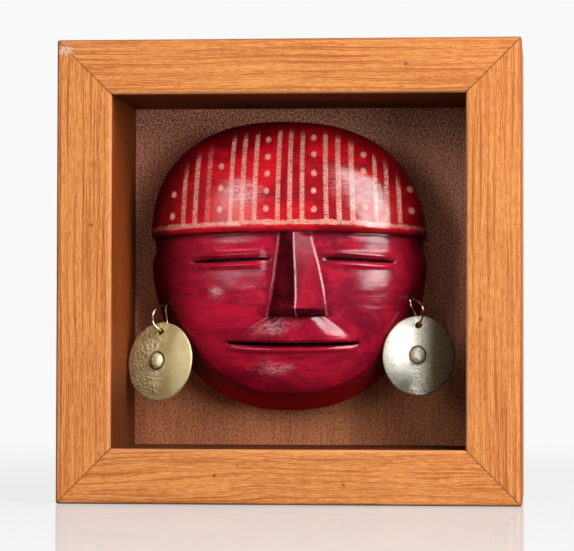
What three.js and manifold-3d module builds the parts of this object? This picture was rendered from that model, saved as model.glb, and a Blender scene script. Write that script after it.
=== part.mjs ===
// A small carved folk mask with a brass disc hanging at each ear, glued into a deep mitred box frame.
// Millimetres, +Z up. The front faces -Y, and the frame stands on its bottom board at z = 0.
import * as THREE from "three";
import { mergeVertices } from "three/addons/utils/BufferGeometryUtils.js";
import Module from "manifold-3d";

const wasm = await Module();
wasm.setup();

// Box frame: four boards with mitred ends, and a thin panel let into a rebate at the back
const frameSide = 160;
const frameDepth = 64;
const railWidth = 19;
const frontEdgeRadius = 1.0;
const backEdgeRadius = 0.5;
const edgeSegments = 3;
const mitreSetback = 0.2;
const panelThickness = 4;
const rebateWidth = 6;
const fitGap = 0.3;

// Mask outline. u runs to the right and v up, both from the mask's middle
const maskX = -3.2;
const maskZ = 83.2;
const maskHalfWidth = 49.35;
const widestLine = 7;
const capRise = 44.4;
const jawDrop = 58.5;
const capRoundness = 2.36;
const jawRoundness = 2.24;
const backTaper = 0.965;

// Mask depth, measured forward from its flat back
const sideWall = 16;
const crownHeight = 22;
const crownFall = 2.2;
const crownFullness = 0.48;
const jawWall = 13;
const jawBevelSlope = 2.6;
const jawBevelTop = -4;
const jawBevelFade = 14;
const edgeSoftness = 0.7;
const carvingFade = 6;
const headTurn = 5.6;
const capLean = 0.035;

// Cap, with a rounded lip that overhangs the brow
const ledgeLine = 11.2;
const ledgeDroop = 1.4;
const ledgeReach = 9;
const capThickness = 2.6;
const capLip = 2.2;
const browGroove = { depth: 0.7, half: 1.5 };
const templeNotch = { share: 0.032, drop: 3.5, reach: 4, edge: 4 };

// Eyes, as long level slits
const eyeLine = 1.9;
const eyeInner = 9.5;
const eyeOuter = 36;
const eyeDroop = 0.7;
const eyeDroopReach = 5;
const eyeSlit = 0.75;
const eyeDepth = 1.6;
const lidRise = 0.9;
const upperLid = { middle: 1.9, half: 1.5 };
const lowerLid = { middle: -1.9, half: 1.4 };
const socket = { depth: 1.1, rise: 2, reach: 8 };

// Nose, as a wedge of two flanks and an underside
const noseBaseLine = -18.4;
const noseTipLine = noseBaseLine + 2.7;
const noseRootHalf = 5.4;
const noseBaseHalf = 10.6;
const noseRootRise = 3;
const noseTipRise = 9.6;
const noseLean = { shift: -2, reach: 12, fade: 4 };

// Mouth, as a slit under a mound that narrows towards the nose
const mouthLine = -28.2;
const mouthHalf = 23.2;
const mouthSlit = 0.7;
const mouthDepth = 1.9;
const lipMound = 2.7;
const lipTopHalf = 10;
const lipTaper = 1.2;
const lipSquareness = 3;
const lipCurl = 1.6;
const lipFade = 7;
const lowerLip = { middle: -1.9, half: 1.5, rise: 1.1 };
const chinBump = { line: -41, rise: 1.4, halfWidth: 17, halfHeight: 8 };

// Mask mesh
const columnsPerSide = 19;
const noseColumns = 4;
const noseColumnShare = 0.2;
const noseColumnFade = 16;
const noseColumnLimit = 0.5;
const longestRowStep = 3.4;
const lipRows = [0.45, 0.1];
const browRowDrop = 1.8;
const curlRows = { above: 1, share: 0.6 };
const slitRowShare = 0.5;
const poleRows = 5;
const poleShare = 0.55;

// Ear holes, in the mask's own u and v
const ears = {
  left: { u: -44.3, v: -13.8 },
  right: { u: 42.6, v: -12 },
};
const earHoleRadius = 1.4;
const earHoleDepth = 5;
const holeSides = 14;

// Brass discs
const discRadius = 14.15;
const discThickness = 0.9;
const discDome = 2.1;
const discLip = 0.3;
const bossRadius = 2.95;
const bossRise = 1.15;
const bossShoulder = { radius: 0.72, foot: 0.35, top: 0.85 };
const grooveWidth = 0.45;
const grooveDepth = 0.35;
const discHoleRadius = 1.2;
const discHoleHeight = 10.6;
const discDrillLength = 8;
const discSegments = 40;
const discRings = 5;
const discs = {
  left: { side: -1, x: -48.1, y: 2.4, z: 48.9, turn: 25, lean: 8, narrowing: 0.945 },
  right: { side: 1, x: 43.7, y: -2.4, z: 51.2, turn: -5, lean: 4, narrowing: 0.912 },
};

// Ear wires: both ends sit in the ear hole, and the bow between them passes through the disc's hole
const wireRadius = 0.4;
const wireSides = 8;
const wireSteps = 34;
const wireLegGap = 0.55;
const wireTail = 3;
const wireStub = 0.6;
const rearLeg = { out: 0.9, drop: 1.6, foot: 0.1 };

// The bow's points around the disc's hole: distances outward, up and aside
const wireBow = [
  { out: 3.4, up: 6.6, aside: 1.6 },
  { out: 3.1, up: 3.2, aside: 1.9 },
  { out: 1.5, up: 0.9, aside: 0.7 },
  { out: 0, up: 0.35, aside: 0 },
  { out: -1.5, up: 0.9, aside: -0.5 },
  { out: -1.9, up: 3.4, aside: -1 },
];

const frontY = -frameDepth / 2;
const panelFrontY = frameDepth / 2 - panelThickness;
const maskBackY = panelFrontY - fitGap;

const finishes = {
  frameWood: { color: 0xc8803f, roughness: 0.5, metalness: 0 },
  panelWood: { color: 0x6b4632, roughness: 0.6, metalness: 0 },
  paintedWood: { color: 0xa5132c, roughness: 0.3, metalness: 0 },
  brass: { color: 0xbfae72, roughness: 0.4, metalness: 0.9 },
};

function smoothStep(from, to, value) {
  const t = Math.min(1, Math.max(0, (value - from) / (to - from)));
  return t * t * (3 - 2 * t);
}

function mix(a, b, t) {
  return a + (b - a) * t;
}

// A bell curve: 1 at its middle, nearly 0 two reaches away
function bell(distance, reach) {
  return Math.exp(-((distance / reach) ** 2));
}

// 1 at the middle of a soft ridge, 0 outside its half width
function ridge(distance, half) {
  const t = Math.min(1, Math.abs(distance) / half);
  return (1 - t * t) ** 2;
}

function softMin(a, b, softness) {
  const t = Math.max(0, softness - Math.abs(a - b)) / softness;
  return Math.min(a, b) - (t * t * softness) / 4;
}

// A closed geometry that holds positions only, with its shared vertices merged
function closedGeometry(geometry) {
  const bare = geometry.clone();
  bare.deleteAttribute("normal");
  bare.deleteAttribute("uv");
  return mergeVertices(bare, 1e-4);
}

function toSolid(geometry) {
  const closed = closedGeometry(geometry);
  return new wasm.Manifold(
    new wasm.Mesh({
      numProp: 3,
      vertProperties: new Float32Array(closed.getAttribute("position").array),
      triVerts: new Uint32Array(closed.index.array),
    }),
  );
}

function toGeometry(solid) {
  const mesh = solid.getMesh();
  const geometry = new THREE.BufferGeometry();
  geometry.setAttribute("position", new THREE.BufferAttribute(mesh.vertProperties, 3));
  geometry.setIndex(new THREE.BufferAttribute(mesh.triVerts, 1));
  return geometry;
}

function makeMesh(name, geometry, finish) {
  geometry.computeVertexNormals();
  const mesh = new THREE.Mesh(geometry, new THREE.MeshStandardMaterial(finish));
  mesh.name = name;
  return mesh;
}

// Board section: x runs inward from the outer face, y back from the front face
function railSection() {
  const width = railWidth;
  const depth = frameDepth;
  const front = frontEdgeRadius;
  const back = backEdgeRadius;
  const shoulder = depth - panelThickness - fitGap;
  const section = new THREE.Shape();
  section.moveTo(front, 0);
  section.lineTo(width - front, 0);
  section.absarc(width - front, front, front, -Math.PI / 2, 0, false);
  section.lineTo(width, shoulder);
  section.lineTo(width - rebateWidth, shoulder);
  section.lineTo(width - rebateWidth, depth);
  section.lineTo(back, depth);
  section.absarc(back, depth - back, back, Math.PI / 2, Math.PI, false);
  section.lineTo(0, front);
  section.absarc(front, front, front, Math.PI, Math.PI * 1.5, false);
  return section;
}

// A board lying along X with its outer face down; its ends lean in at 45 degrees
function railGeometry() {
  const geometry = new THREE.ExtrudeGeometry(railSection(), {
    depth: frameSide,
    steps: 1,
    bevelEnabled: false,
    curveSegments: edgeSegments,
  });
  const section = geometry.getAttribute("position");
  for (let i = 0; i < section.count; i += 1) {
    const inward = section.getX(i);
    const back = section.getY(i);
    const along = section.getZ(i);
    const mitre = inward + mitreSetback;
    const end = along > frameSide / 2 ? frameSide - mitre : mitre;
    section.setXYZ(i, frameSide / 2 - end, back, inward);
  }
  return closedGeometry(geometry);
}

// The four boards are one board turned about the frame's centre
function makeFrame() {
  const frame = new THREE.Group();
  const names = ["rail_bottom", "rail_left", "rail_top", "rail_right"];
  names.forEach((name, quarter) => {
    const board = makeMesh(name, railGeometry(), finishes.frameWood);
    board.position.set(0, frontY, -frameSide / 2);
    const turned = new THREE.Group();
    turned.position.z = frameSide / 2;
    turned.rotation.y = (quarter * Math.PI) / 2;
    turned.add(board);
    frame.add(turned);
  });
  return frame;
}

function makePanel() {
  const side = frameSide - 2 * (railWidth - rebateWidth) - 2 * fitGap;
  const panel = makeMesh(
    "back_panel",
    new THREE.BoxGeometry(side, panelThickness, side),
    finishes.panelWood,
  );
  panel.position.set(0, panelFrontY + panelThickness / 2, frameSide / 2);
  return panel;
}

function reachAt(v) {
  return v > widestLine ? capRise : jawDrop;
}

function roundnessAt(v) {
  return v > widestLine ? capRoundness : jawRoundness;
}

function halfWidthAt(v) {
  const power = roundnessAt(v);
  const share = Math.min(1, Math.abs(v - widestLine) / reachAt(v));
  return maskHalfWidth * (1 - share ** power) ** (1 / power);
}

// 0 at the mask's middle and 1 on its outline
function rimShare(u, v) {
  const power = roundnessAt(v);
  const across = Math.abs(u) / maskHalfWidth;
  const along = Math.abs(v - widestLine) / reachAt(v);
  return Math.min(1, (across ** power + along ** power) ** (1 / power));
}

function noseHalfAt(v) {
  const t = (ledgeLine - v) / (ledgeLine - noseBaseLine);
  return mix(noseRootHalf, noseBaseHalf, Math.min(1, Math.max(0, t)));
}

// Rises from the ledge: a quarter round, then the cap's even thickness
function capStep(v) {
  const above = v - ledgeLine;
  if (above <= 0) {
    return 0;
  }
  const t = Math.max(0, 1 - above / capLip);
  return capThickness * Math.sqrt(1 - t * t);
}

function noseRise(u, v) {
  if (v >= ledgeLine || v <= noseBaseLine) {
    return 0;
  }
  const across = Math.max(0, 1 - Math.abs(u) / noseHalfAt(v));
  const along = (ledgeLine - v) / (ledgeLine - noseTipLine);
  const crest = mix(noseRootRise, noseTipRise, Math.min(1, along));
  const underside = Math.min(1, (v - noseBaseLine) / (noseTipLine - noseBaseLine));
  return crest * across * underside;
}

function eyeRelief(u, v) {
  const middle = (eyeInner + eyeOuter) / 2;
  const along = (Math.abs(u) - middle) / ((eyeOuter - eyeInner) / 2);
  if (Math.abs(along) >= 1) {
    return 0;
  }
  const open = Math.sqrt(1 - along * along);
  const above = v - eyeLine;
  const slit = eyeDepth * ridge(above, eyeSlit) * open;
  const upper = lidRise * ridge(above - upperLid.middle, upperLid.half) * open;
  const lower = lidRise * ridge(above - lowerLid.middle, lowerLid.half) * open;
  return upper + lower - slit;
}

function mouthRelief(u, v) {
  const above = v - mouthLine;
  const share = Math.min(1, Math.abs(u) / mouthHalf);
  const open = Math.sqrt(1 - share * share);
  const slit = mouthDepth * ridge(above, mouthSlit) * Math.sqrt(open);
  const lower = lowerLip.rise * ridge(above - lowerLip.middle, lowerLip.half) * open;
  let mound = 0;
  if (above > 0 && v < 0) {
    const climb = Math.min(1, above / (noseBaseLine - mouthLine));
    const half = mix(mouthHalf, lipTopHalf, climb ** lipTaper);
    const across = smoothStep(0, 1, 1 - (Math.abs(u) / half) ** lipSquareness);
    const curl = Math.sqrt(Math.min(1, above / lipCurl));
    const fade = 1 - smoothStep(noseBaseLine, noseBaseLine + lipFade, v);
    mound = lipMound * across * curl * fade;
  }
  return mound + lower - slit;
}

// Height of the carved front above the mask's flat back
function maskHeight(u, v) {
  const rim = rimShare(u, v);
  let height = sideWall + crownHeight * (1 - rim ** crownFall) ** crownFullness;
  const bevel = jawWall + jawBevelSlope * (1 - rim) * maskHalfWidth;
  const bevelShare = smoothStep(jawBevelTop, jawBevelTop - jawBevelFade, v);
  height = mix(height, softMin(height, bevel, edgeSoftness), bevelShare);
  const inside = 1 - rim ** carvingFade;
  if (v < ledgeLine) {
    height -= browGroove.depth * bell(v - ledgeLine, browGroove.half);
    height -= socket.depth * inside * bell(v - eyeLine - socket.rise, socket.reach);
  }
  height += capStep(v);
  height += noseRise(u, v);
  height += (eyeRelief(u, v) + mouthRelief(u, v)) * inside;
  const chinAcross = bell(u, chinBump.halfWidth);
  const chinAlong = bell(v - chinBump.line, chinBump.halfHeight);
  height += chinBump.rise * chinAcross * chinAlong * inside;
  return height;
}

// A point of the mask's front in its own axes: x right, y back, z up, from the middle of its back
function maskPoint(u, v) {
  const rim = rimShare(u, v);
  const above = v - ledgeLine;
  const pinch = bell(above + templeNotch.drop, templeNotch.reach) * rim ** templeNotch.edge;
  const notch = above < 0 ? templeNotch.share * pinch : 0;
  const lean = capLean * Math.max(0, above);
  const side = Math.abs(u) / maskHalfWidth;
  const ledgeBend = ledgeDroop * side ** 2 * bell(above, ledgeReach);
  const eyeShare = smoothStep(eyeInner, eyeOuter, Math.abs(u));
  const eyeBend = eyeDroop * eyeShare * bell(v - eyeLine, eyeDroopReach);
  const alongNose = smoothStep(noseBaseLine, ledgeLine, v) * smoothStep(noseLean.fade, 0, above);
  const noseShift = noseLean.shift * alongNose * bell(u, noseLean.reach);
  return new THREE.Vector3(
    u * (1 - notch) + headTurn * (1 - rim ** 2) - lean + noseShift,
    -maskHeight(u, v),
    v - ledgeBend - eyeBend,
  );
}

// Row heights from the chin to the crown: close at the carved lines, even between them
function maskRows() {
  const chin = widestLine - jawDrop;
  const crown = widestLine + capRise;
  const lines = [
    ledgeLine + capLip,
    ...lipRows.map((share) => ledgeLine + capLip * share),
    ledgeLine,
    ledgeLine - browRowDrop,
    eyeLine + upperLid.middle + upperLid.half,
    eyeLine + upperLid.middle,
    eyeLine + eyeSlit,
    eyeLine,
    eyeLine - eyeSlit,
    eyeLine + lowerLid.middle,
    eyeLine + lowerLid.middle - lowerLid.half,
    noseTipLine,
    noseBaseLine,
    mouthLine + lipCurl + curlRows.above,
    mouthLine + lipCurl * curlRows.share,
    mouthLine + mouthSlit * slitRowShare,
    mouthLine,
    mouthLine - mouthSlit,
    mouthLine + lowerLip.middle,
    mouthLine + lowerLip.middle - lowerLip.half,
  ];
  for (let i = 1; i <= poleRows; i += 1) {
    const share = 1 - Math.sin((Math.PI / 2) * (1 - (i / (poleRows + 1)) * poleShare));
    lines.push(chin + jawDrop * share);
    lines.push(crown - capRise * share);
  }
  lines.push(chin, crown);
  lines.sort((a, b) => a - b);
  const rows = [lines[0]];
  for (const line of lines.slice(1)) {
    const last = rows[rows.length - 1];
    const steps = Math.max(1, Math.ceil((line - last) / longestRowStep));
    for (let i = 1; i <= steps; i += 1) {
      rows.push(mix(last, line, i / steps));
    }
  }
  return rows;
}

// Column places from -1 at the left outline to 1 at the right; the inner ones span the nose
function maskColumns() {
  const right = [];
  for (let i = 1; i <= noseColumns; i += 1) {
    right.push((noseColumnShare * i) / noseColumns);
  }
  const start = Math.asin(noseColumnShare);
  const outer = columnsPerSide - noseColumns;
  for (let i = 1; i <= outer; i += 1) {
    right.push(Math.sin(mix(start, Math.PI / 2, i / outer)));
  }
  const left = right.map((place) => -place).reverse();
  return [...left, 0, ...right];
}

// The nose columns run along the wedge's two feet and spread out again above and below it
function columnU(place, v) {
  const half = halfWidthAt(v);
  const plain = noseColumnShare * half;
  const fade = smoothStep(noseBaseLine - noseColumnFade, noseBaseLine, v)
    * (1 - smoothStep(ledgeLine, ledgeLine + noseColumnFade, v));
  const foot = mix(plain, Math.min(noseHalfAt(v), half * noseColumnLimit), fade);
  const size = Math.abs(place);
  const outward = size <= noseColumnShare
    ? (foot * size) / noseColumnShare
    : mix(foot, half, (size - noseColumnShare) / (1 - noseColumnShare));
  return Math.sign(place) * outward;
}

function maskGeometry() {
  const rows = maskRows();
  const columns = maskColumns();
  const points = [];
  const triangles = [];
  const addPoint = (point) => points.push(point) - 1;
  const grid = rows.slice(1, -1).map((v) => (
    columns.map((place) => addPoint(maskPoint(columnU(place, v), v)))
  ));
  const chin = addPoint(maskPoint(0, rows[0]));
  const crown = addPoint(maskPoint(0, rows[rows.length - 1]));
  const last = grid.length - 1;
  for (let i = 0; i < columns.length - 1; i += 1) {
    triangles.push([chin, grid[0][i + 1], grid[0][i]]);
    triangles.push([crown, grid[last][i], grid[last][i + 1]]);
    for (let j = 0; j < last; j += 1) {
      triangles.push([grid[j][i], grid[j][i + 1], grid[j + 1][i + 1]]);
      triangles.push([grid[j][i], grid[j + 1][i + 1], grid[j + 1][i]]);
    }
  }
  const rightSide = grid.map((row) => row[row.length - 1]);
  const leftSide = grid.map((row) => row[0]).reverse();
  const outline = [chin, ...rightSide, crown, ...leftSide];
  const backLoop = outline.map((index) => {
    const { x, z } = points[index];
    return addPoint(new THREE.Vector3(x * backTaper, 0, z * backTaper));
  });
  const backMiddle = addPoint(new THREE.Vector3(0, 0, 0));
  outline.forEach((index, i) => {
    const next = (i + 1) % outline.length;
    triangles.push([index, backLoop[i], backLoop[next]]);
    triangles.push([index, backLoop[next], outline[next]]);
    triangles.push([backLoop[i], backMiddle, backLoop[next]]);
  });
  const geometry = new THREE.BufferGeometry().setFromPoints(points);
  geometry.setIndex(triangles.flat());
  return geometry;
}

// Where an ear hole opens on the mask's front, and the way out of it
function earFrame({ u, v }) {
  const step = 0.4;
  const mouth = maskPoint(u, v);
  const across = maskPoint(u + step, v).sub(maskPoint(u - step, v));
  const upward = maskPoint(u, v + step).sub(maskPoint(u, v - step));
  const outward = across.cross(upward).normalize();
  return { mouth, outward };
}

function earDrill(ear) {
  const length = earHoleDepth * 2;
  const drill = new THREE.CylinderGeometry(earHoleRadius, earHoleRadius, length, holeSides);
  const turn = new THREE.Quaternion().setFromUnitVectors(new THREE.Vector3(0, 1, 0), ear.outward);
  drill.applyQuaternion(turn);
  drill.translate(ear.mouth.x, ear.mouth.y, ear.mouth.z);
  return drill;
}

function makeMask(earFrames) {
  let solid = toSolid(maskGeometry());
  for (const ear of earFrames) {
    solid = solid.subtract(toSolid(earDrill(ear)));
  }
  const mask = makeMesh("mask", toGeometry(solid), finishes.paintedWood);
  mask.position.set(maskX, maskBackY, maskZ);
  return mask;
}

// Half section of a disc: x is the radius and y the height above the rim's back edge
function discProfile() {
  const domeAt = (radius) => discDome * (1 - (radius / discRadius) ** 2);
  const groove = bossRadius + grooveWidth;
  const profile = [new THREE.Vector2(0, domeAt(0))];
  for (let i = 1; i <= discRings; i += 1) {
    const radius = ((discRadius - discLip) * i) / discRings;
    profile.push(new THREE.Vector2(radius, domeAt(radius)));
  }
  profile.push(new THREE.Vector2(discRadius, discLip));
  profile.push(new THREE.Vector2(discRadius, discThickness - discLip));
  for (let i = discRings; i >= 1; i -= 1) {
    const radius = mix(groove, discRadius - discLip, i / discRings);
    profile.push(new THREE.Vector2(radius, domeAt(radius) + discThickness));
  }
  profile.push(new THREE.Vector2(groove, domeAt(groove) + discThickness));
  profile.push(new THREE.Vector2(bossRadius, domeAt(groove) + discThickness - grooveDepth));
  const bossFoot = domeAt(0) + discThickness;
  const { radius, foot, top } = bossShoulder;
  profile.push(new THREE.Vector2(bossRadius, bossFoot + bossRise * foot));
  profile.push(new THREE.Vector2(bossRadius * radius, bossFoot + bossRise * top));
  profile.push(new THREE.Vector2(0, bossFoot + bossRise));
  return profile;
}

// The disc's own axes in the object: right, outward and up, and its centre
function discFrame({ side, x, y, z, turn, lean, narrowing }) {
  const aside = THREE.MathUtils.degToRad(turn);
  const back = THREE.MathUtils.degToRad(lean);
  const outward = new THREE.Vector3(
    side * Math.sin(aside) * Math.cos(back),
    -Math.cos(aside) * Math.cos(back),
    Math.sin(back),
  );
  const right = new THREE.Vector3(Math.cos(aside), side * Math.sin(aside), 0);
  const up = new THREE.Vector3().crossVectors(right, outward).negate();
  const centre = new THREE.Vector3(x, y, z);
  const hole = centre.clone().addScaledVector(up, discHoleHeight);
  return { side, right, outward, up, centre, hole, narrowing };
}

function makeDisc(name, frame) {
  const round = new THREE.LatheGeometry(discProfile(), discSegments);
  round.scale(frame.narrowing, 1, 1);
  const drill = new THREE.CylinderGeometry(discHoleRadius, discHoleRadius, discDrillLength, holeSides);
  drill.translate(0, 0, -discHoleHeight);
  const solid = toSolid(round).subtract(toSolid(drill));
  const disc = makeMesh(name, toGeometry(solid), finishes.brass);
  const turn = new THREE.Matrix4().makeBasis(frame.right, frame.outward, frame.up.clone().negate());
  disc.quaternion.setFromRotationMatrix(turn);
  disc.position.copy(frame.centre);
  return disc;
}

// Out of the ear hole, down in front of the disc's rim, through its hole and back up behind it
function wireRoute(ear, disc) {
  const mouth = ear.mouth.clone().add(new THREE.Vector3(maskX, maskBackY, maskZ));
  const plumb = new THREE.Vector3(0, 0, 1);
  const sideways = new THREE.Vector3().crossVectors(ear.outward, plumb).normalize();
  const legUp = new THREE.Vector3().crossVectors(sideways, ear.outward).normalize();
  const fromEar = (out, up) => mouth.clone()
    .addScaledVector(ear.outward, out)
    .addScaledVector(legUp, up);
  const domeBack = discDome * (1 - (discHoleHeight / discRadius) ** 2);
  const fromHole = ({ out, up, aside }) => disc.hole.clone()
    .addScaledVector(disc.outward, out + domeBack + discThickness / 2)
    .addScaledVector(disc.up, up)
    .addScaledVector(disc.right, aside * disc.side);
  return new THREE.CatmullRomCurve3([
    fromEar(-wireTail, wireLegGap),
    fromEar(-wireTail / 2, wireLegGap),
    fromEar(wireStub, wireLegGap),
    ...wireBow.map(fromHole),
    fromEar(rearLeg.out, -wireLegGap - rearLeg.drop),
    fromEar(rearLeg.foot, -wireLegGap),
    fromEar(-wireTail, -wireLegGap),
  ]);
}

function makeWire(name, route) {
  const section = new THREE.Shape();
  for (let i = 0; i < wireSides; i += 1) {
    const angle = (2 * Math.PI * i) / wireSides;
    const x = wireRadius * Math.cos(angle);
    const y = wireRadius * Math.sin(angle);
    if (i === 0) {
      section.moveTo(x, y);
    } else {
      section.lineTo(x, y);
    }
  }
  const bow = new THREE.ExtrudeGeometry(section, { steps: wireSteps, extrudePath: route });
  return makeMesh(name, closedGeometry(bow), finishes.brass);
}

const part = new THREE.Group();
const earLeft = earFrame(ears.left);
const earRight = earFrame(ears.right);
const discLeft = discFrame(discs.left);
const discRight = discFrame(discs.right);
part.add(makeFrame());
part.add(makePanel());
part.add(makeMask([earLeft, earRight]));
part.add(makeDisc("ear_disc_left", discLeft));
part.add(makeDisc("ear_disc_right", discRight));
part.add(makeWire("ear_wire_left", wireRoute(earLeft, discLeft)));
part.add(makeWire("ear_wire_right", wireRoute(earRight, discRight)));

export default part;
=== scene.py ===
import math
import bmesh
import bpy
from mathutils import Matrix, Quaternion, Vector, geometry, noise


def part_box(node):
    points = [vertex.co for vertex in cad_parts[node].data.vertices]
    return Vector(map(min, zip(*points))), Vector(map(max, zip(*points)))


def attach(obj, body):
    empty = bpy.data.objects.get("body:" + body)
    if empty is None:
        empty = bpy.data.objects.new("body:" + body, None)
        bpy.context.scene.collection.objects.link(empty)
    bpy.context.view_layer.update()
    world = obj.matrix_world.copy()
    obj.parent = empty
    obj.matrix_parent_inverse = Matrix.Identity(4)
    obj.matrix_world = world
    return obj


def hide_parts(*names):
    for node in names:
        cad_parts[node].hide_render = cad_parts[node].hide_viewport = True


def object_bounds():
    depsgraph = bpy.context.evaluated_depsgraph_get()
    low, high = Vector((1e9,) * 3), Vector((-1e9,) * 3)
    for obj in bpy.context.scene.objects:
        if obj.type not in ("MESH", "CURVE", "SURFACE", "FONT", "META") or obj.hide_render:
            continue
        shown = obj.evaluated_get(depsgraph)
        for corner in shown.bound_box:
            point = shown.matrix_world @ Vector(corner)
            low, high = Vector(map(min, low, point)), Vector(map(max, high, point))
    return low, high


# A small carved mask with brass ear discs, glued into a deep box frame. It faces -Y.
# Shapes are worked out in millimetres and scaled to metres as each piece is made.
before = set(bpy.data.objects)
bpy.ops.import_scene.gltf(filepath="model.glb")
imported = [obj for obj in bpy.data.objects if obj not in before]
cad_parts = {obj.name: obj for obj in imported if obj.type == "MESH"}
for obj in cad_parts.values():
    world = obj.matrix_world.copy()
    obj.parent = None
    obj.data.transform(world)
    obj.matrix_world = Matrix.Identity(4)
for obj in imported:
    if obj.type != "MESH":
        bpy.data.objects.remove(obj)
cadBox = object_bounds()
mm = 0.001


def mix(a, b, t):
    return a + (b - a) * t


def clamp(value):
    return min(1.0, max(0.0, value))


def smoothStep(start, end, value):
    t = clamp((value - start) / (end - start))
    return t * t * (3 - 2 * t)


def bell(distance, reach):
    return math.exp(-((distance / reach) ** 2))


def ridge(distance, half):
    t = min(1.0, abs(distance) / half)
    return (1 - t * t) ** 2


def softMin(a, b, softness):
    t = max(0.0, softness - abs(a - b)) / softness
    return min(a, b) - t * t * softness / 4


def waver(x, y, z=0.0):  # smooth noise from -1 to 1
    return noise.noise(Vector((x, y, z)))


def nodeBox(node):  # a CAD node's corners in mm
    low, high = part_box(node)
    return low / mm, high / mm


# Shader helpers: each gives back the socket that the next one reads
def startMaterial(name):
    material = bpy.data.materials.new(name)
    material.use_nodes = True
    material.node_tree.nodes.clear()
    return material, material.node_tree


def plug(tree, socket, value):
    if isinstance(value, bpy.types.NodeSocket):
        tree.links.new(value, socket)
    elif socket.type == "RGBA":
        socket.default_value = (*value, 1)
    else:
        socket.default_value = value


def joined(tree, first, second):  # two numbers as the coordinates of a pattern
    node = tree.nodes.new("ShaderNodeCombineXYZ")
    plug(tree, node.inputs[0], first)
    plug(tree, node.inputs[1], second)
    return node.outputs[0]


def calc(tree, operation, *values):
    node = tree.nodes.new("ShaderNodeMath")
    node.operation = operation
    for socket, value in zip(node.inputs, values):
        plug(tree, socket, value)
    return node.outputs[0]


def product(tree, first, *others):
    for other in others:
        first = calc(tree, "MULTIPLY", first, other)
    return first


def roughen(tree, value, pattern, amount):  # shifts a value by a pattern that swings about a half
    return calc(tree, "MULTIPLY_ADD", calc(tree, "SUBTRACT", pattern, 0.5), amount, value)


def rescale(tree, value, low, high, newLow=0.0, newHigh=1.0):
    node = tree.nodes.new("ShaderNodeMapRange")
    node.interpolation_type = "SMOOTHSTEP"
    for socket, number in zip(node.inputs, (value, low, high, newLow, newHigh)):
        plug(tree, socket, number)
    return node.outputs["Result"]


def tint(tree, share, under, over, style="MIX"):  # lays one colour over another
    node = tree.nodes.new("ShaderNodeMix")
    node.data_type = "RGBA"
    node.blend_type = style
    for socket, value in zip((node.inputs[0], node.inputs[6], node.inputs[7]), (share, under, over)):
        plug(tree, socket, value)
    return node.outputs[2]


def layTones(tree, colour, tones, layers):  # lays named tones over a colour, one after the other
    for name, share in layers:
        colour = tint(tree, share, colour, tones[name])
    return colour


def attribute(tree, name):
    node = tree.nodes.new("ShaderNodeAttribute")
    node.attribute_name = name
    return node.outputs["Vector"]


def objectPlace(tree):
    return tree.nodes.new("ShaderNodeTexCoord").outputs["Object"]


def parts(tree, vector):  # the three numbers of a vector
    node = tree.nodes.new("ShaderNodeSeparateXYZ")
    plug(tree, node.inputs[0], vector)
    return node.outputs[0], node.outputs[1], node.outputs[2]


def stretch(tree, vector, scale, turn=(0, 0, 0)):
    node = tree.nodes.new("ShaderNodeMapping")
    plug(tree, node.inputs["Vector"], vector)
    node.inputs["Scale"].default_value = scale
    node.inputs["Rotation"].default_value = [math.radians(angle) for angle in turn]
    return node.outputs[0]


def cloud(tree, vector, scale=1, detail=3, roughness=0.55, distortion=0.0, turn=(0, 0, 0)):
    if isinstance(scale, tuple):  # a pattern stretched along some axes
        vector, scale = stretch(tree, vector, scale, turn), 1
    node = tree.nodes.new("ShaderNodeTexNoise")
    plug(tree, node.inputs["Vector"], vector)
    settings = {"Scale": scale, "Detail": detail, "Roughness": roughness, "Distortion": distortion}
    for name, number in settings.items():
        node.inputs[name].default_value = number
    return node.outputs["Fac"]


def cells(tree, vector, scale):  # distance to the nearest of many scattered points
    node = tree.nodes.new("ShaderNodeTexVoronoi")
    plug(tree, node.inputs["Vector"], vector)
    node.inputs["Scale"].default_value = scale
    return node.outputs["Distance"]


def bump(tree, height, depth, under=None):  # depth in mm
    node = tree.nodes.new("ShaderNodeBump")
    node.inputs["Distance"].default_value = depth * mm
    plug(tree, node.inputs["Height"], height)
    if under is not None:
        plug(tree, node.inputs["Normal"], under)
    return node.outputs[0]


def surface(tree, settings):
    shader = tree.nodes.new("ShaderNodeBsdfPrincipled")
    for name, value in settings.items():
        plug(tree, shader.inputs[name], value)
    output = tree.nodes.new("ShaderNodeOutputMaterial")
    tree.links.new(shader.outputs[0], output.inputs[0])


# Turns a finished bmesh into a piece that stands for its CAD node
def addPiece(name, bm, material, node):
    bmesh.ops.scale(bm, vec=(mm, mm, mm), verts=bm.verts)
    mesh = bpy.data.meshes.new(name)
    bm.to_mesh(mesh)
    bm.free()
    mesh.materials.append(material)
    mesh.shade_smooth()
    mesh.set_sharp_from_angle(angle=math.radians(55))
    piece = bpy.data.objects.new(name, mesh)
    bpy.context.scene.collection.objects.link(piece)
    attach(piece, "root")
    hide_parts(node)
    return piece


# Camera: low, a little to the right of the middle and far away
camera = {
    "place": (89.3, -1017.4, 48.0),
    "lookAt": (-0.1, -32.0, 78.5),
    "roll": 0.121,
    "lens": 181.45,
    "sensor": 36,
    "clip": (0.05, 20),    # metres
}


def addCamera():
    data = bpy.data.cameras.new("camera")
    data.lens = camera["lens"]
    data.sensor_width = camera["sensor"]
    data.clip_start, data.clip_end = camera["clip"]
    viewer = bpy.data.objects.new("camera", data)
    bpy.context.scene.collection.objects.link(viewer)
    place = Vector(camera["place"]) * mm
    aim = Vector(camera["lookAt"]) * mm - place
    roll = Quaternion((0, 0, 1), math.radians(camera["roll"]))
    viewer.location = place
    viewer.rotation_mode = "QUATERNION"
    viewer.rotation_quaternion = aim.to_track_quat("-Z", "Y") @ roll
    bpy.context.scene.camera = viewer


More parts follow.
